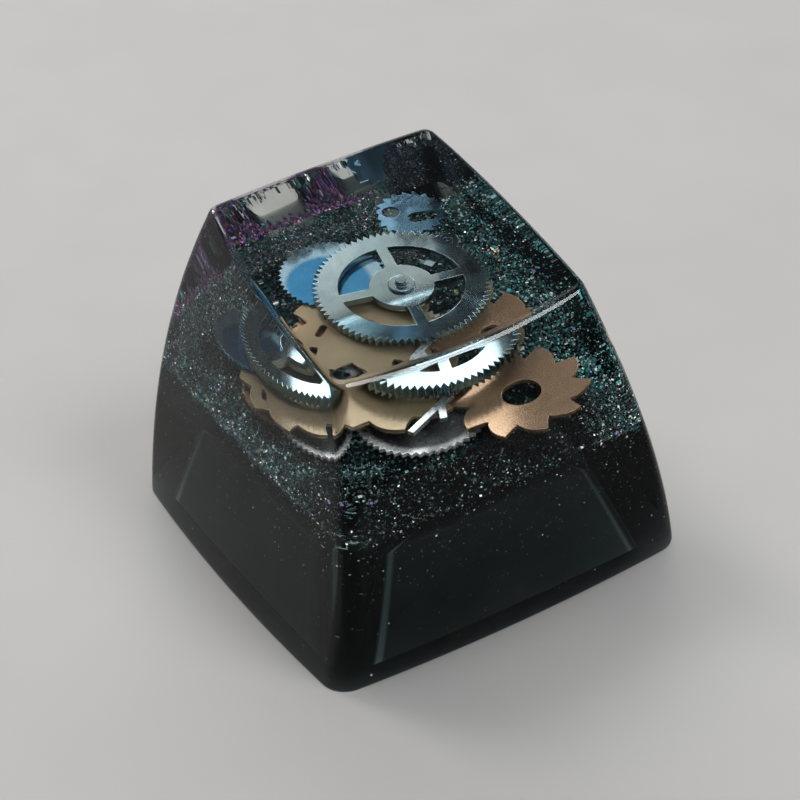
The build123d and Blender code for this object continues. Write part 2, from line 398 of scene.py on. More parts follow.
def makeClearResin():
    material, tree, shader, out = newMaterial("clearResin")
    grain = addGrain(tree, clearLook)
    setInputs(tree, shader, {
        "Base Color": grain["Color"], "Roughness": grain["Roughness"],
        "Transmission Weight": 1.0, "IOR": clearLook["bend"]})
    passLamps(tree, shader, out, clearLook["lampTint"])
    return material


# Frosted hollow: the edge value of a point makes it paler above 0, a painted highlight, and darker below 0, a
# painted shade
frostLook = {
    "light": (0.25, 0.30, 0.30), "dark": (0.17, 0.21, 0.21), "scale": 260.0, "rough": (0.5, 0.75),
    # pale is the painted highlight colour, shade the painted shade colour
    "pale": (0.95, 0.98, 0.97, 1), "shade": (0.012, 0.016, 0.017, 1),
}


def makeFrosted():
    material, tree, shader, _ = newMaterial("frostedUnderside")
    grain = addGrain(tree, frostLook)
    edge = addNode(tree, "ShaderNodeAttribute", {}, attribute_name="edge").outputs["Fac"]
    below = mathNode(tree, "MULTIPLY", {0: edge, 1: -1.0})
    pale = mixColours(tree, edge, grain["Color"], frostLook["pale"])
    shade = mixColours(tree, below, pale, frostLook["shade"])
    setInputs(tree, shader, {"Base Color": shade, "Roughness": grain["Roughness"]})
    return material


# Foot at the clear gaps, a painted light standing in for the bright floor seen through the clear resin: dark
# where the edge value is -1, pale where it is 0
footLightLook = {
    "light": (0.55, 0.545, 0.51), "dark": (0.42, 0.415, 0.39), "scale": 500.0, "rough": (0.5, 0.75),
    "shade": (0.02, 0.024, 0.025, 1),
}


def makeFootLight():
    material, tree, shader, _ = newMaterial("paintedLightFoot")
    grain = addGrain(tree, footLightLook)
    edge = addNode(tree, "ShaderNodeAttribute", {}, attribute_name="edge").outputs["Fac"]
    fade = mathNode(tree, "ADD", {0: edge, 1: 1.0})
    colour = mixColours(tree, fade, footLightLook["shade"], grain["Color"])
    setInputs(tree, shader, {"Base Color": colour, "Roughness": grain["Roughness"]})
    return material


footLook = {
    "light": (0.030, 0.036, 0.037), "dark": (0.012, 0.015, 0.016), "scale": 900.0, "rough": (0.45, 0.7),
}


def makeDarkFoot():
    material, tree, shader, _ = newMaterial("sandedFoot")
    grain = addGrain(tree, footLook)
    setInputs(tree, shader, {"Base Color": grain["Color"], "Roughness": grain["Roughness"]})
    return material


# Smoky tint: a body that takes up light and bends none
smokeLook = {
    "light": (1, 1, 1), "dark": (0.98, 0.98, 0.98), "scale": 200.0, "rough": (0.0, 0.0),
    "haze": (0.02, 0.10, 0.10, 1), "density": 480.0, "lampTint": (1, 1, 1, 1),
}


def makeSmoke():
    material, tree, shader, out = newMaterial("smokyTint")
    grain = addGrain(tree, smokeLook)
    setInputs(tree, shader, {
        "Base Color": grain["Color"], "Transmission Weight": 1.0, "IOR": 1.0, "Roughness": 0.0})
    passLamps(tree, shader, out, smokeLook["lampTint"])
    haze = addNode(tree, "ShaderNodeVolumeAbsorption", {
        "Color": smokeLook["haze"], "Density": smokeLook["density"]})
    setInputs(tree, out, {"Volume": haze.outputs[0]})
    return material


# Clear gaps in the dark pour at the back wall: smooth steps in x that lean with the height
windows = {"spans": ((-1.9, 1.0), (2.6, 5.1)), "edge": 7.5, "lean": 0.255, "soft": 0.22, "backY": 6.0}


def windowAt(x, level):
    start = x - windows["lean"] * (pour["height"] - level)
    soft = windows["soft"]
    total = 0 * start
    for low, high in windows["spans"]:
        total = total + 0.5 * (np.tanh((start - low) / soft) - np.tanh((start - high) / soft))
    return total


# Draws the pour's rows in to the edge of the gaps, where a gap is open
def openWindows(rows):
    moved = rows.copy()
    moved[..., 1] -= windowAt(rows[..., 0], rows[..., 2]) * np.maximum(rows[..., 1] - windows["edge"], 0)
    return moved


# Painted light and shade on the hollow's walls: shares of a wall from and to, and the edge values there, a
# painted highlight above 0 and a painted shade below 0; a later span goes over an earlier one. The corners
# and the inside beyond the walls get painted shade; gapLeast is the least gap that gives the foot its painted
# light
paintedLightMarks = {
    "corner": -0.7, "inside": -0.93, "gapLeast": 0.05,
    "spans": [
        {"wall": "left", "from": 0.90, "to": 0.98, "start": 0.0, "end": -0.95},
        {"wall": "left", "from": 0.98, "to": 1.0, "start": -0.95, "end": -0.95},
        {"wall": "left", "from": 0.0, "to": 0.02, "start": 0.8, "end": 0.8},
        {"wall": "frontLeft", "from": 0.0, "to": 1.0, "start": -0.95, "end": -0.95},
        {"wall": "front", "from": 0.0, "to": 1.0, "start": -0.40, "end": 0.06},
        {"wall": "front", "from": 0.0, "to": 0.04, "start": -0.95, "end": -0.95},
        {"wall": "front", "from": 0.04, "to": 0.06, "start": 1.0, "end": 1.0},
        {"wall": "front", "from": 0.985, "to": 1.0, "start": 0.9, "end": 0.9},
    ],
}


def hollowPaintedLight():
    marks = np.where(segment % 2 == 1, paintedLightMarks["corner"], 0.0)
    for span in paintedLightMarks["spans"]:
        part = (share - span["from"]) / (span["to"] - span["from"])
        within = onWall(span["wall"]) & (part >= 0) & (part <= 1)
        marks = np.where(within, span["start"] + (span["end"] - span["start"]) * part, marks)
    return marks


# Outside of the casting: dish, round rim, walls and round foot.
# Gives the middle of the dish, the rows and the foot's edge
def outsideRows():
    level = np.full((1, columnTotal), form["dishHeight"])
    for _ in range(form["rimRounds"]):
        x, y, _, _ = outline(level, 0)
        level = dishAt(x, y)
    x, y, outX, outY = outline(level, 0)
    edge = np.stack([x, y, level], -1)[0]
    innerX = x - form["rimRound"] * outX
    innerY = y - form["rimRound"] * outY
    inner = np.stack([innerX, innerY, dishAt(innerX, innerY)], -1)[0]
    lowLevel = level - form["rimRound"] * form["rimDrop"]
    outer = outlinePoints(lowLevel, 0)[0]
    rim = roundRows(inner, edge, outer, grid["rim"])[1:]
    middleY = inner[:, 1].mean()
    flat = blendRows(np.array([0.0, middleY]), inner[:, :2], grid["dish"])
    dish = np.concatenate([flat, dishAt(flat[..., 0], flat[..., 1])[..., None]], -1)
    fall = np.linspace(0, 1, grid["wall"] + 1)[1:, None]
    wall = outlinePoints(lowLevel + (form["footRound"] - lowLevel) * fall, 0)
    ground = np.zeros((1, columnTotal))
    footX, footY, outX, outY = outline(ground, 0)
    footEdge = np.stack([footX, footY, ground], -1)[0]
    footIn = np.stack([footX - form["footRound"] * outX, footY - form["footRound"] * outY, ground], -1)[0]
    foot = roundRows(wall[-1], footEdge, footIn, grid["foot"])[1:]
    centre = np.array([0.0, middleY, dishAt(0.0, middleY)])
    return centre, np.concatenate([dish, rim, wall, foot]), footEdge


# Underside: round lip, up the hollow's walls, in along its ceiling, down the post and up into the socket
def undersideRows():
    lip = hollow["lip"]
    mouth = hollowRow(lip, 0.0)
    lipRows = roundRows(hollowRow(0.0, lip), hollowRow(0.0, 0.0), mouth, grid["lip"])
    ceiling = hollowRow(hollow["depth"], 0.0)
    cross = crossRow(hollow["postLift"])
    socket = crossRow(hollow["postLift"] + hollow["crossDepth"])
    turn = np.arctan2(cross[:, 1], cross[:, 0])
    postX = hollow["postRadius"] * np.cos(turn)
    postY = hollow["postRadius"] * np.sin(turn)
    post = np.stack([postX, postY, ceiling[:, 2]], -1)
    postEnd = np.stack([postX, postY, cross[:, 2]], -1)
    return np.concatenate([
        lipRows, blendRows(mouth, ceiling, grid["hollow"]), blendRows(ceiling, post, grid["ceiling"]),
        blendRows(post, postEnd, grid["post"]), blendRows(postEnd, cross, grid["postEnd"]),
        blendRows(cross, socket, grid["socket"])])


# Whole casting as one closed surface: clear outside, the hollow frosted with painted highlights and shade,
# the foot dark but for the gaps, which get painted light
resinSlots = {"clear": 0, "frosted": 1, "darkFoot": 2, "paintedLightFoot": 3}


def makeResin():
    centre, outside, footEdge = outsideRows()
    underside = undersideRows()
    rows = np.concatenate([outside, underside])
    footStart = len(outside)
    footEnd = footStart + grid["lip"] + 1
    wallEnd = footEnd + grid["hollow"]
    atBack = footEdge[:, 1] > windows["backY"]
    gaps = np.clip(windowAt(footEdge[:, 0], 0.0) * atBack, 0, 1)
    slots = np.full(rows.shape[:2], resinSlots["clear"])
    isOpen = gaps > paintedLightMarks["gapLeast"]
    slots[footStart:footEnd] = np.where(isOpen, resinSlots["paintedLightFoot"], resinSlots["darkFoot"])
    slots[footEnd:] = resinSlots["frosted"]
    socketEnd = np.array([0, 0, hollow["postLift"] + hollow["crossDepth"]])
    materials = [makeClearResin(), makeFrosted(), makeDarkFoot(), makeFootLight()]
    piece = closedGrid("clear_resin", centre, rows, socketEnd, materials, slots)
    # Edge values that paint light and shade: on the hollow's walls painted highlights above 0 and painted
    # shade below 0, painted shade on its ceiling, post and socket, and painted light on the foot at the gaps
    edge = np.zeros(rows.shape[:2])
    edge[footStart:wallEnd] = hollowPaintedLight()
    edge[wallEnd:] = paintedLightMarks["inside"]
    edge[footStart - 1:footStart + 1] = gaps - 1.0
    layer = piece.data.attributes.new("edge", "FLOAT", "POINT")
    layer.data.foreach_set("value", np.concatenate([[0], edge.ravel(), [0]]).astype(np.float32))
    return piece


# Dark pour: the lower part of the casting, drawn in by a hair from the outer surface and from the hollow
def makeTint():
    gap = pour["gap"]
    level = pour["height"] - pour["lidDrop"]
    deep = hollow["depth"] + gap
    centre = np.array([0, 0, level])
    levels = np.linspace(level, gap, pour["wallRows"] + 1)
    wall = openWindows(outlineRows(levels, gap))
    lid = blendRows(centre, wall[0], pour["lidRows"])
    mouth = hollowRow(gap, gap)
    inside = blendRows(mouth, hollowRow(deep, gap), pour["hollowRows"])
    rows = np.concatenate([lid, wall[1:], mouth[None], inside])
    slots = np.zeros(rows.shape[:2], int)
    return closedGrid("smoky_base", centre, rows, np.array([0, 0, deep]), [makeSmoke()], slots)


resinPiece = makeResin()
tintPiece = makeTint()
print("stage: resin", len(resinPiece.data.polygons), len(tintPiece.data.polygons))

flakeLook = {
    "light": (1, 1, 1), "dark": (0.7, 0.7, 0.7), "scale": 4000.0, "rough": (0.25, 0.5),
    "metallic": 0.55, "narrow": (0.6, 1.0),
}


# The colour of each flake, made darker in places by the grain
def makeFlakeMaterial():
    material, tree, shader, _ = newMaterial("glitterFlakes")
    grain = addGrain(tree, flakeLook)
    colour = addNode(tree, "ShaderNodeVertexColor", {}, layer_name="flake").outputs["Color"]
    setInputs(tree, shader, {
        "Base Color": mixColours(tree, 1.0, colour, grain["Color"], "MULTIPLY"),
        "Roughness": grain["Roughness"], "Metallic": flakeLook["metallic"]})
    return material


flakeMaterial = makeFlakeMaterial()


# Flakes: tiny four-cornered leaves, each turned at random about its own place
def makeFlakes(name, spots, sizes, tilt, colours):
    count = len(spots)
    normal = np.stack([rng.normal(0, tilt, count), rng.normal(0, tilt, count), np.ones(count)], -1)
    normal /= np.linalg.norm(normal, axis=1, keepdims=True)
    turn = rng.uniform(0, 2 * math.pi, count)
    first = np.stack([np.cos(turn), np.sin(turn), np.zeros(count)], -1)
    first -= normal * (first * normal).sum(1, keepdims=True)
    first /= np.linalg.norm(first, axis=1, keepdims=True)
    second = np.cross(normal, first)
    half = sizes[:, None] / 2
    across = half * first
    along = half * rng.uniform(*flakeLook["narrow"], count)[:, None] * second
    corners = np.stack([
        spots - across - along, spots + across - along, spots + across + along, spots - across + along], 1)
    quads = np.arange(count * 4).reshape(count, 4)
    piece = putMesh(name, corners.reshape(-1, 3), quads, np.zeros((0, 3), int), [flakeMaterial])
    layer = piece.data.color_attributes.new("flake", "FLOAT_COLOR", "CORNER")
    rgba = np.ones((count, 4, 4), np.float32)
    rgba[..., :3] = colours[:, None, :]
    layer.data.foreach_set("color", rgba.ravel())
    return piece


# Sizes of flakes: about a middle size, by a bell curve of its logarithm
def flakeSizes(kind, count):
    return np.exp(rng.normal(math.log(kind["size"]), kind["sizeSpread"], count))


# Colours of the flakes, and how many parts of each there are in the layers
flakeKinds = {
    "colours": np.array([
        [0.003, 0.017, 0.018], [0.012, 0.085, 0.086], [0.10, 0.20, 0.20],
        [0.72, 0.86, 0.84], [0.20, 0.08, 0.26], [0.70, 0.48, 0.20]]),
    "settled": np.array([0.46, 0.32, 0.145, 0.055, 0.012, 0.008]),
    "front": np.array([0.77, 0.07, 0.085, 0.060, 0.009, 0.006]),
    "hanging": np.array([0.0, 0.10, 0.34, 0.50, 0.03, 0.03]),
    "level": -0.15, "levelSpread": 0.6,
    # Painted light: from right and frontRight on, flakes are made brighter by these gains
    "right": (4.6, 6.6), "rightPaintedLight": 0.9, "frontRight": (2.0, -2.0), "frontRightPaintedLight": 1.1,
}
# Violet fringe along the back wall
fringe = {
    "colours": np.array([
        [0.15, 0.06, 0.19], [0.20, 0.08, 0.17], [0.09, 0.05, 0.16], [0.05, 0.035, 0.08],
        [0.11, 0.06, 0.20], [0.05, 0.05, 0.11], [0.24, 0.18, 0.28], [0.32, 0.13, 0.22],
        [0.03, 0.022, 0.05], [0.10, 0.09, 0.17], [0.15, 0.06, 0.18], [0.09, 0.05, 0.14],
        [0.18, 0.08, 0.17], [0.05, 0.035, 0.08], [0.09, 0.05, 0.16], [0.34, 0.19, 0.09]]),
    "back": (7.35, 7.65), "wave": 0.15, "waveTurn": 2.1,
    "right": (4.4, 3.8), "left": (-5.6, -4.8), "most": 0.92, "levelPower": 0.5,
}


# Random colour for each flake, with a long bright tail, brighter on the right as a painted light that grows
# towards the front right, and violet in the fringe
def flakeColours(spots, shares):
    count = len(spots)
    x = spots[:, 0]
    y = spots[:, 1]
    base = flakeKinds["colours"][rng.choice(len(shares), count, p=shares / shares.sum())]
    ahead = ramp(y, *flakeKinds["frontRight"])
    paintedLightGain = ramp(x, *flakeKinds["right"]) * (flakeKinds["rightPaintedLight"] + flakeKinds["frontRightPaintedLight"] * ahead)
    level = np.exp(rng.normal(flakeKinds["level"], flakeKinds["levelSpread"], count)) * (1 + paintedLightGain)
    violet = ramp(y - fringe["wave"] * np.sin(fringe["waveTurn"] * x), *fringe["back"])
    violet = violet * ramp(x, *fringe["right"]) * ramp(x, *fringe["left"]) * fringe["most"]
    pick = rng.uniform(0, 1, count) < violet
    tint = fringe["colours"][rng.integers(0, len(fringe["colours"]), count)]
    level = level[:, None]
    return np.where(pick[:, None], tint * level ** fringe["levelPower"], np.clip(base * level, 0, 1))


# Distance in from the casting's nearest wall at a height: by the half widths, and by the circle in a corner
def wallDistance(x, y, level):
    side, front, back = wallReach(level, 0)
    radius = between(form["baseCorner"], form["rimCorner"], level)
    fromSide = side - np.abs(x)
    fromEnd = np.minimum(back - y, front + y)
    corner = radius - np.hypot(np.maximum(radius - fromSide, 0), np.maximum(radius - fromEnd, 0))
    return np.minimum(np.minimum(fromSide, fromEnd), corner)


# Ridge of flakes along the back: a thin upright sheet whose top goes up and down by three sines
ridge = {
    "count": 13000, "x": (-5.7, 3.1), "y": 7.30, "slope": 0.03, "bow": 0.05, "bowTurn": 1.9, "thick": 0.06,
    "foot": 6.75, "top": 2.75, "waves": ((0.25, 3.1, 0), (0.20, 7.3, 1), (0.15, 17, 0)), "thinning": 1.15,
}


def ridgeSpots():
    count = ridge["count"]
    x = rng.uniform(*ridge["x"], count)
    y = ridge["y"] - ridge["slope"] * np.maximum(x, 0) + ridge["bow"] * np.sin(ridge["bowTurn"] * x)
    y = y + rng.normal(0, ridge["thick"], count)
    top = ridge["top"]
    for height, turn, start in ridge["waves"]:
        top = top + height * np.sin(turn * x + start)
    return np.stack([x, y, ridge["foot"] + top * rng.uniform(0, 1, count) ** ridge["thinning"]], -1)


# Places close to the walls: between two neighbouring columns of the outline, at the nearest row below
wallGrid = {"from": 6.8, "to": 13.2, "rows": 65, "perMm": 10}


def wallSpots(z, column, tuck):
    points = outlineRows(np.linspace(wallGrid["from"], wallGrid["to"], wallGrid["rows"]), tuck)
    row = np.clip(((z - wallGrid["from"]) * wallGrid["perMm"]).astype(int), 0, wallGrid["rows"] - 1)
    near = points[row, column]
    after = points[row, (column + 1) % columnTotal]
    spots = near + (after - near) * rng.uniform(0, 1, (len(z), 1))
    spots[:, 2] = z
    return spots


# Dark film in the back right corner, a painted shade: dark flakes close to the wall, thinning out at the top,
# that darken the corner and hide the star wheel's reflection there
shadeFilm = {
    "count": 8000, "foot": 7.6, "height": 5.4, "spread": (1.1, 1.25),
    "back": 0.15, "right": 0.94, "tuck": 0.14, "thick": 0.02,
    "size": 0.085, "colour": np.array([0.010, 0.022, 0.034]), "levels": (0.4, 1.4),
}


def shadeFilmSpots():
    count = shadeFilm["count"]
    z = shadeFilm["foot"] + shadeFilm["height"] * rng.beta(*shadeFilm["spread"], count)
    inBack = onWall("back") & (share < shadeFilm["back"])
    inRight = onWall("right") & (share > shadeFilm["right"])
    columns = np.flatnonzero(inBack | onWall("backRight") | inRight)
    spots = wallSpots(z, columns[rng.integers(0, len(columns), count)], shadeFilm["tuck"])
    spots[:, :2] += rng.normal(0, shadeFilm["thick"], (count, 2))
    return spots


# Climbing flakes: left on the inside of the walls above the pour, thinner upwards, most on the right;
# rare at the front, and none in the back right corner, where the film is, or in the clear gaps
climbing = {
    "count": 9000, "tries": 3, "foot": 6.8, "rise": 0.75, "rightRise": 2.4, "top": 12.0,
    "inward": (0.06, 0.5), "wallGap": 0.08, "rightX": 4.5, "leftChance": 0.35, "gapFoot": 7.7,
    "frontY": -6.5, "frontChance": 0.12,
    "cornerX": 4.6, "cornerY": 6.6, "size": 0.065, "sizeSpread": 0.3, "tilt": 1.2,
}
# Knot of bright and golden flakes on the right
knot = {
    "count": 26, "middle": np.array([6.3, 1.9, 8.0]), "spread": 0.13, "size": 0.09,
    "gold": [[0.85, 0.62, 0.30]], "silver": [[0.92, 0.92, 0.86]], "goldShare": 0.5,
}


def makeClimbingFlakes():
    many = climbing["count"] * climbing["tries"]
    column = rng.integers(0, columnTotal, many)
    rise = np.where(onWall("right")[column], climbing["rightRise"], 1.0)
    z = climbing["foot"] + rng.exponential(climbing["rise"], many) * rise
    spots = wallSpots(z, column, 0.0)
    inward = -spots[:, :2]
    inward /= np.linalg.norm(inward, axis=1, keepdims=True)
    spots[:, :2] += inward * rng.uniform(*climbing["inward"], (many, 1))
    x = spots[:, 0]
    y = spots[:, 1]
    inGap = windowAt(x, z) * (y > windows["backY"]) * (z > climbing["gapFoot"])
    inCorner = (y > climbing["cornerY"]) & (x > climbing["cornerX"])
    chance = np.where(x > climbing["rightX"], 1.0, climbing["leftChance"]) * (1 - inGap)
    chance = chance * np.where(y < climbing["frontY"], climbing["frontChance"], 1.0)
    chance = chance * np.where(inCorner, 0.0, 1.0)
    clear = (z < climbing["top"]) & (wallDistance(x, y, z) > climbing["wallGap"])
    keep = (rng.uniform(0, 1, many) < chance) & clear
    spots = np.concatenate([spots[keep][:climbing["count"]], ridgeSpots()])
    sizes = flakeSizes(climbing, len(spots))
    colours = flakeColours(spots, flakeKinds["settled"])
    # Painted shade: the dark film's flakes
    dark = shadeFilmSpots()
    darkColours = shadeFilm["colour"] * rng.uniform(*shadeFilm["levels"], (len(dark), 1))
    bright = knot["middle"] + rng.normal(0, knot["spread"], (knot["count"], 3))
    isGold = rng.uniform(0, 1, (knot["count"], 1)) < knot["goldShare"]
    brightColours = np.where(isGold, knot["gold"], knot["silver"])
    sizes = np.concatenate([sizes, np.full(len(dark), shadeFilm["size"]), np.full(len(bright), knot["size"])])
    spots = np.concatenate([spots, dark, bright])
    colours = np.concatenate([colours, darkColours, brightColours])
    return makeFlakes("climbing_glitter", spots, sizes, climbing["tilt"], colours)


# Settled layer: flakes on the dark pour, climbing a little at the walls; more along the back, fewer and
# darker at the front, none in the clear gaps or in the back right corner
settled = {
    "count": 42000, "tries": 2, "x": (-7.9, 7.9), "y": (-8.2, 8.9),
    "moreShare": 4, "moreX": (-7.4, 3.2), "moreY": (7.0, 8.9),
    "wallLevel": 7.3, "wallGap": 0.12, "right": (4.2, 6.2),
    "thinning": 0.28, "thinFrom": -2.7, "thinLeast": 0.22,
    "gapBack": 8.10, "gapWaves": ((0.13, 15.7), (0.05, 6)), "gapSoft": 0.05,
    "corner": (5.2, 5.5), "gapFront": (7.42, 7.52),
    "level": 6.78, "drifts": ((0.06, 1.7, 0.6), (0.05, -0.9, 2.3)),
    "climb": 0.42, "climbReach": 0.45, "sink": 0.16,
    "frontY": -4.2, "frontWave": 0.4, "frontTurn": 1.3, "frontSize": 0.72,
    "leftAhead": 1.2, "left": (-3.5, -5.5),
    "size": 0.075, "sizeSpread": 0.42, "tilt": 0.5,
}


def makeFloorFlakes():
    count = settled["count"]
    many = count * settled["tries"]
    x = rng.uniform(*settled["x"], many)
    y = rng.uniform(*settled["y"], many)
    more = rng.choice(many, count // settled["moreShare"], replace=False)
    x[more] = rng.uniform(*settled["moreX"], len(more))
    y[more] = rng.uniform(*settled["moreY"], len(more))
    away = wallDistance(x, y, np.full(many, settled["wallLevel"]))
    thin = np.clip(1 + settled["thinning"] * (y - settled["thinFrom"]), settled["thinLeast"], 1.0)
    ragged = settled["gapBack"]
    for height, turn in settled["gapWaves"]:
        ragged = ragged + height * np.sin(turn * x)
    inGap = windowAt(x, pour["height"]) * np.clip((ragged - y) / settled["gapSoft"], 0, 1)
    shut = np.maximum(inGap, ramp(x, *settled["corner"])) * ramp(y, *settled["gapFront"])
    clear = rng.uniform(0, 1, many) > shut
    chosen = rng.uniform(0, 1, many) < np.maximum(thin, ramp(x, *settled["right"]))
    keep = np.flatnonzero((away > settled["wallGap"]) & clear & chosen)[:count]
    x = x[keep]
    y = y[keep]
    drift = 0 * x
    for height, turnX, turnY in settled["drifts"]:
        drift = drift + height * np.sin(turnX * x + turnY * y)
    climb = settled["climb"] * np.exp(-away[keep] / settled["climbReach"])
    z = settled["level"] + drift + climb - np.abs(rng.normal(0, settled["sink"], len(x)))
    spots = np.stack([x, y, z], -1)
    frontEnd = settled["frontY"] + settled["frontWave"] * np.sin(settled["frontTurn"] * x)
    ahead = y < frontEnd + settled["leftAhead"] * ramp(x, *settled["left"])
    sizes = flakeSizes(settled, len(x)) * np.where(ahead, settled["frontSize"], 1.0)
    frontColours = flakeColours(spots, flakeKinds["front"])
    otherColours = flakeColours(spots, flakeKinds["settled"])
    colours = np.where(ahead[:, None], frontColours, otherColours)
    return makeFlakes("settled_glitter", spots, sizes, settled["tilt"], colours)


# Hanging flakes: thinner towards the foot, through the walls of the dark pour
hanging = {
    "count": 4600, "tries": 14, "top": 6.7, "fall": 2.4, "foot": 0.15, "reach": (-9.1, 9.1),
    "hollowGap": 0.15, "depth": (0.1, 1.3), "gapLeast": 0.1, "gapDepth": 0.2,
    "size": 0.048, "sizeSpread": 0.3, "tilt": 0.9,
}


def makeHangingFlakes():
    many = hanging["count"] * hanging["tries"]
    z = hanging["top"] - rng.exponential(hanging["fall"], many)
    x = rng.uniform(*hanging["reach"], many)
    y = rng.uniform(*hanging["reach"], many)
    away = wallDistance(x, y, z)
    side, end = hollowReach(z, hanging["hollowGap"])
    inHollow = (np.abs(x) < side) & (np.abs(y) < end) & (z < hollow["depth"] + hanging["hollowGap"])
    inGap = (windowAt(x, z) > hanging["gapLeast"]) & (y > windows["edge"] - hanging["gapDepth"])
    least, most = hanging["depth"]
    keep = (away > least) & (away < most) & (z > hanging["foot"]) & ~inHollow & ~inGap
    spots = np.stack([x, y, z], -1)[keep][:hanging["count"]]
    sizes = flakeSizes(hanging, len(spots))
    colours = flakeColours(spots, flakeKinds["hanging"])
    return makeFlakes("hanging_glitter", spots, sizes, hanging["tilt"], colours)


climbingFlakes = makeClimbingFlakes()
floorFlakes = makeFloorFlakes()
hangingFlakes = makeHangingFlakes()
print("stage: glitter", len(floorFlakes.data.polygons), len(hangingFlakes.data.polygons))

# Metals: the look of each kind, and the slot it fills
metals = {
    "brightSteel": {
        "light": (0.50, 0.66, 0.70), "dark": (0.33, 0.48, 0.53), "scale": 350.0, "rough": (0.06, 0.16),
        "metallic": 1.0, "slot": "bright_steel"},
    "bluedSteel": {
        "light": (0.065, 0.26, 0.45), "dark": (0.04, 0.19, 0.36), "scale": 400.0, "rough": (0.12, 0.26),
        "metallic": 1.0, "slot": "blued_steel"},
    "starSteel": {
        "light": (0.21, 0.40, 0.54), "dark": (0.12, 0.28, 0.45), "scale": 400.0, "rough": (0.12, 0.26),
        "metallic": 1.0, "slot": "blued_steel"},
    "copper": {
        "light": (0.47, 0.315, 0.195), "dark": (0.32, 0.205, 0.12), "scale": 220.0, "rough": (0.20, 0.26),
        "metallic": 0.85, "slot": "copper"},
    "bronze": {
        "light": (0.30, 0.25, 0.15), "dark": (0.235, 0.165, 0.10), "scale": 300.0, "rough": (0.20, 0.28),
        "metallic": 0.7, "slot": "bronze"},
    # Lower wheel's steel, darkened as a painted shade under the upper wheels
    "shadedSteel": {
        "light": (0.20, 0.22, 0.22), "dark": (0.11, 0.13, 0.13), "scale": 600.0, "rough": (0.22, 0.34),
        "metallic": 0.8, "slot": "bright_steel"},
    "paleSteel": {
        "light": (0.56, 0.60, 0.60), "dark": (0.38, 0.42, 0.43), "scale": 600.0, "rough": (0.22, 0.34),
        "metallic": 0.95, "slot": "bright_steel"},
}
# Pale rims: the distances from the middle of a wheel at which the rim's colour starts and is full,
# in millimetres or in shares of the wheel's half width. The lower wheel's pale rim is a painted highlight
rims = {
    "bluedSteel": {
        "wheel": "blued_wheel", "shift": (-0.42, -0.50), "from": 1.78, "to": 2.12, "shares": False,
        "colour": (0.30, 0.46, 0.54, 1)},
    "shadedSteel": {
        "wheel": "lower_wheel", "shift": (0.0, 0.0), "from": 0.80, "to": 0.90, "shares": True,
        "colour": (0.86, 0.88, 0.87, 1)},
}
metalPieces = {
    "lower_wheel": "shadedSteel", "fork_lever": "paleSteel", "click_arm": "brightSteel",
    "main_wheel": "brightSteel", "wheel_arbor": "brightSteel",
    "blued_wheel": "bluedSteel", "star_wheel": "starSteel",
    "copper_wheel": "copper", "claw_wheel": "copper", "bronze_wheel": "bronze",
}
# Small bevel on the edges, in millimetres and degrees, and the fine bump of the metal
metalEdges = {
    "bevel": 0.025, "bevels": {"main_wheel": 0.065, "wheel_arbor": 0.05}, "steps": 2, "sharp": 30,
    "weld": 0.002, "flat": 1.0, "bump": 0.01, "bumpHeight": 0.02,
}


def addRim(tree, colour, rim):
    low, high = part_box(rim["wheel"])
    middle = (low + high) / 2
    reach = (high[0] - low[0]) / 2 if rim["shares"] else mm
    shiftX, shiftY = rim["shift"]
    place = addNode(tree, "ShaderNodeTexCoord", {}).outputs["Object"]
    centre = (middle[0] + shiftX * mm, middle[1] + shiftY * mm, middle[2])
    away = addNode(tree, "ShaderNodeVectorMath", {0: place, 1: centre}, operation="DISTANCE").outputs["Value"]
    factor = smoothRise(tree, away, rim["from"] * reach, rim["to"] * reach)
    return mixColours(tree, factor, colour, rim["colour"])


def makeMetal(name, look):
    material, tree, shader, _ = newMaterial(name)
    grain = addGrain(tree, look)
    colour = grain["Color"]
    if name in rims:
        colour = addRim(tree, colour, rims[name])
    bump = addNode(tree, "ShaderNodeBump", {
        "Height": grain["Height"], "Strength": metalEdges["bump"], "Distance": metalEdges["bumpHeight"] * mm})
    setInputs(tree, shader, {
        "Base Color": colour, "Roughness": grain["Roughness"], "Normal": bump.outputs[0],
        "Metallic": look["metallic"]})
    return material


metalMaterials = {name: makeMetal(name, look) for name, look in metals.items()}
for name, kind in metalPieces.items():
    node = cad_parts[name]
    node.data.materials.clear()
    node.data.materials.append(metalMaterials[kind])
    weld = node.modifiers.new("weld", "WELD")
    weld.merge_threshold = metalEdges["weld"] * mm
    flat = node.modifiers.new("flat", "DECIMATE")
    flat.decimate_type = "DISSOLVE"
    flat.angle_limit = math.radians(metalEdges["flat"])
    bevel = node.modifiers.new("bevel", "BEVEL")
    bevel.width = metalEdges["bevels"].get(name, metalEdges["bevel"]) * mm
    bevel.segments = metalEdges["steps"]
    bevel.limit_method = "ANGLE"
    bevel.angle_limit = math.radians(metalEdges["sharp"])
    bevel.harden_normals = True
print("stage: metals")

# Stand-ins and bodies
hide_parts("clear_crown")
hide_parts("glitter_base")
for piece in (resinPiece, tintPiece, floorFlakes, hangingFlakes, climbingFlakes):
    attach(piece, "root")

# Floor: plain and pale, just below the foot, in millimetres. In reflections it is darker ahead and at the
# left, a painted shade: places in metres where that starts and is full, and how much
floorLook = {
    "light": (0.415, 0.401, 0.384), "dark": (0.395, 0.381, 0.364), "scale": 40.0, "rough": (0.6, 0.8),
    "half": 3000, "level": -0.02, "dimmed": (0.02, 0.02, 0.02, 1),
    "ahead": (0.002, -0.012, 0.9), "aside": (-0.004, -0.012, 0.62),
}


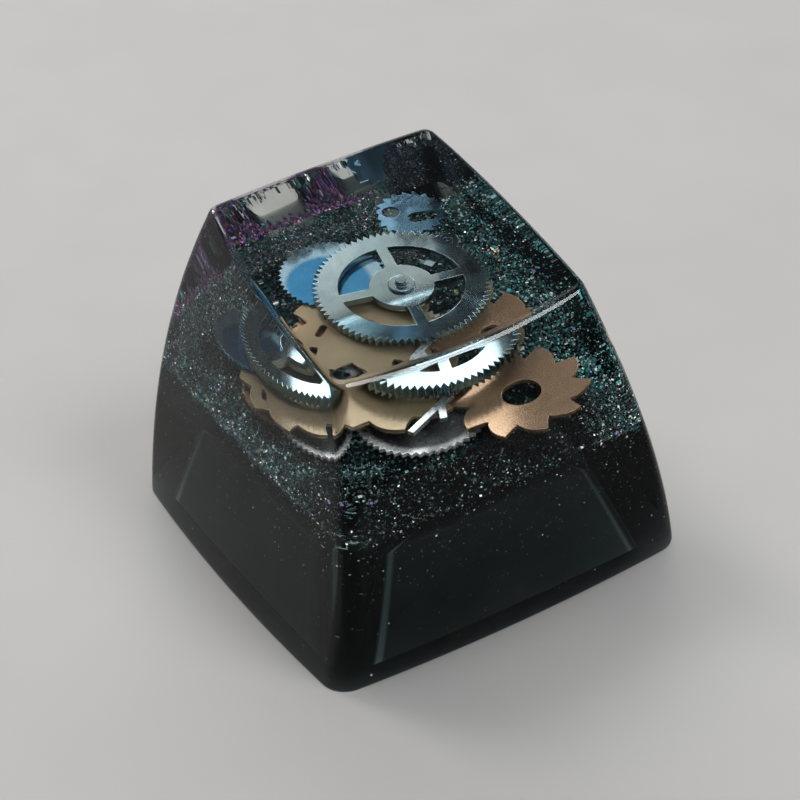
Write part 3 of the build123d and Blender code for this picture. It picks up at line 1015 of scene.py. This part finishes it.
def makeFloor():
    material, tree, shader, _ = newMaterial("paleFloor")
    grain = addGrain(tree, floorLook)
    path = addNode(tree, "ShaderNodeLightPath", {})
    place = addNode(tree, "ShaderNodeTexCoord", {})
    axes = addNode(tree, "ShaderNodeSeparateXYZ", {0: place.outputs["Object"]})
    ahead = smoothRise(tree, axes.outputs["Y"], *floorLook["ahead"])
    aside = smoothRise(tree, axes.outputs["X"], *floorLook["aside"])
    most = mathNode(tree, "MAXIMUM", {0: ahead, 1: aside})
    factor = mathNode(tree, "MULTIPLY", {0: path.outputs["Is Glossy Ray"], 1: most})
    colour = mixColours(tree, factor, grain["Color"], floorLook["dimmed"])
    setInputs(tree, shader, {"Base Color": colour, "Roughness": grain["Roughness"]})
    half = floorLook["half"]
    level = floorLook["level"]
    corners = np.array([
        [-half, -half, level], [half, -half, level], [half, half, level], [-half, half, level]])
    floor = putMesh("floor", corners, np.array([[0, 1, 2, 3]]), np.zeros((0, 3), int), [material])


# Two round lamps, in metres, turned to the middle of the casting
lamps = {
    "keyLamp": {"place": (-0.12, 0.32, 0.30), "size": 0.18, "power": 1.15, "colour": (1.0, 0.985, 0.96)},
    "fillLamp": {"place": (0.16, -0.26, 0.29), "size": 0.2, "power": 0.80, "colour": (0.96, 0.98, 1.0)},
}
lampTarget = (0, 0, 0.008)


def makeLamp(name, values):
    data = bpy.data.lights.new(name, "AREA")
    data.shape = "DISK"
    data.size = values["size"]
    data.energy = values["power"]
    data.color = values["colour"]
    lamp = bpy.data.objects.new(name, data)
    bpy.context.scene.collection.objects.link(lamp)
    lamp.location = values["place"]
    lamp.visible_transmission = False
    lamp.rotation_mode = "QUATERNION"
    lamp.rotation_quaternion = (Vector(lampTarget) - Vector(values["place"])).to_track_quat("-Z", "Y")


# Soft room: an even light with round patches, each by the cosine of the angle from its middle;
# a patch with dim is weaker in plain reflections
room = {
    "ambient": (0.035, 0.037, 0.04),
    "patches": [
        {"toward": (0.0, 0.35, 0.93), "from": -0.1, "to": 1.0, "colour": (0.05, 0.055, 0.06)},
        {"toward": (0.05, -0.05, 1.0), "from": 0.90, "to": 0.97, "colour": (2.0, 2.1, 2.2)},
        {"toward": (0.42, 0.12, 0.90), "from": 0.970, "to": 0.988, "colour": (0.5, 0.42, 0.36)},
        {"toward": (0.42, 0.86, 0.20), "from": 0.82, "to": 0.96, "colour": (4.6, 4.7, 4.8), "dim": 0.85},
    ],
}


def makeWorld():
    world = bpy.data.worlds.new("softRoom")
    bpy.context.scene.world = world
    world.use_nodes = True
    tree = world.node_tree
    tree.nodes.clear()
    place = addNode(tree, "ShaderNodeTexCoord", {}).outputs["Generated"]
    path = addNode(tree, "ShaderNodeLightPath", {}).outputs
    plain = mathNode(
        tree, "SUBTRACT", {0: path["Is Glossy Ray"], 1: path["Is Transmission Ray"]}, use_clamp=True)
    total = room["ambient"]
    for patch in room["patches"]:
        toward = addNode(tree, "ShaderNodeVectorMath", {
            0: place, 1: Vector(patch["toward"]).normalized()}, operation="DOT_PRODUCT")
        level = smoothRise(tree, toward.outputs["Value"], patch["from"], patch["to"])
        if "dim" in patch:
            less = mathNode(tree, "MULTIPLY_ADD", {0: plain, 1: -patch["dim"], 2: 1.0})
            level = mathNode(tree, "MULTIPLY", {0: less, 1: level})
        tint = addNode(tree, "ShaderNodeVectorMath", {0: patch["colour"], "Scale": level}, operation="SCALE")
        added = addNode(tree, "ShaderNodeVectorMath", {0: tint.outputs[0], 1: total}, operation="ADD")
        total = added.outputs[0]
    back = addNode(tree, "ShaderNodeBackground", {"Color": total, "Strength": 1.0})
    addNode(tree, "ShaderNodeOutputWorld", {"Surface": back.outputs[0]})


makeFloor()
for name, values in lamps.items():
    makeLamp(name, values)
makeWorld()

# Camera: from the front left and above, with a slight roll; in degrees, millimetres and pixels,
# the clip distances in metres
shot = {
    "turn": -28.6901, "rise": 36.8278, "roll": -4.2182, "target": (0, 0, 8),
    "distance": 117.6343, "shiftX": 0.1627, "shiftY": -1.3173,
    "focal": 2707.6, "pixels": 800, "sensor": 36, "clipStart": 0.005, "clipEnd": 20,
}


def makeCamera():
    turn = math.radians(shot["turn"])
    rise = math.radians(shot["rise"])
    roll = math.radians(shot["roll"])
    back = Vector((math.sin(turn) * math.cos(rise), -math.cos(turn) * math.cos(rise), math.sin(rise)))
    right = (-back).cross(Vector((0, 0, 1))).normalized()
    up = right.cross(-back)
    across = math.cos(roll) * right + math.sin(roll) * up
    upright = -math.sin(roll) * right + math.cos(roll) * up
    place = Vector(shot["target"]) + back * shot["distance"]
    place = place + across * shot["shiftX"] + upright * shot["shiftY"]
    data = bpy.data.cameras.new("camera")
    data.sensor_width = shot["sensor"]
    data.lens = shot["focal"] / shot["pixels"] * shot["sensor"]
    data.clip_start = shot["clipStart"]
    data.clip_end = shot["clipEnd"]
    camera = bpy.data.objects.new("camera", data)
    bpy.context.scene.collection.objects.link(camera)
    turned = Matrix((across, upright, back)).transposed()
    camera.matrix_world = Matrix.Translation(place * mm) @ turned.to_4x4()
    bpy.context.scene.camera = camera


makeCamera()
bpy.context.scene.view_settings.view_transform = "Standard"
print("stage: done")
